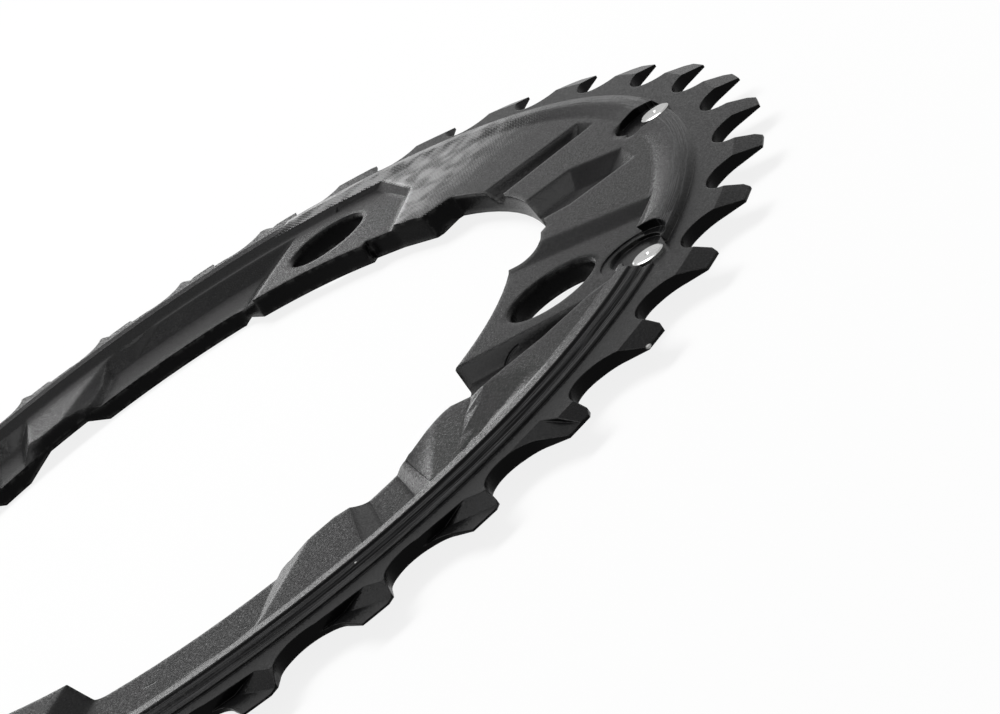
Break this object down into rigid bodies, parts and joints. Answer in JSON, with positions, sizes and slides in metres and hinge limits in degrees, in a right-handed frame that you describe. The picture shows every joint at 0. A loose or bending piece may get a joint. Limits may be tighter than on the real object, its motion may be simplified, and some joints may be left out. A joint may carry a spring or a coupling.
{
  "type": "bicycle chainring",
  "caption": "Toothed outer chainring with bolt tabs, a raised ridge, scooped web and pressed shift pins, driven by a crank to pull a bicycle chain.",
  "frame": {"origin": "centre of the ring on its resting back face", "axes": "+Z along the ring's axis, out of the shift side; +X through one bolt hole"},
  "size_m": [0.149, 0.149, 0.0043],
  "materials": {
    "anodised_ring": "black anodised, fine bead-blast grain",
    "pin_steel": "bare steel, turned head"
  },
  "bodies": {
    "root": {"chainring": "anodised_ring", "shift_pin_1": "pin_steel", "shift_pin_2": "pin_steel", "shift_pin_3": "pin_steel", "shift_pin_4": "pin_steel"}
  },
  "joints": []
}
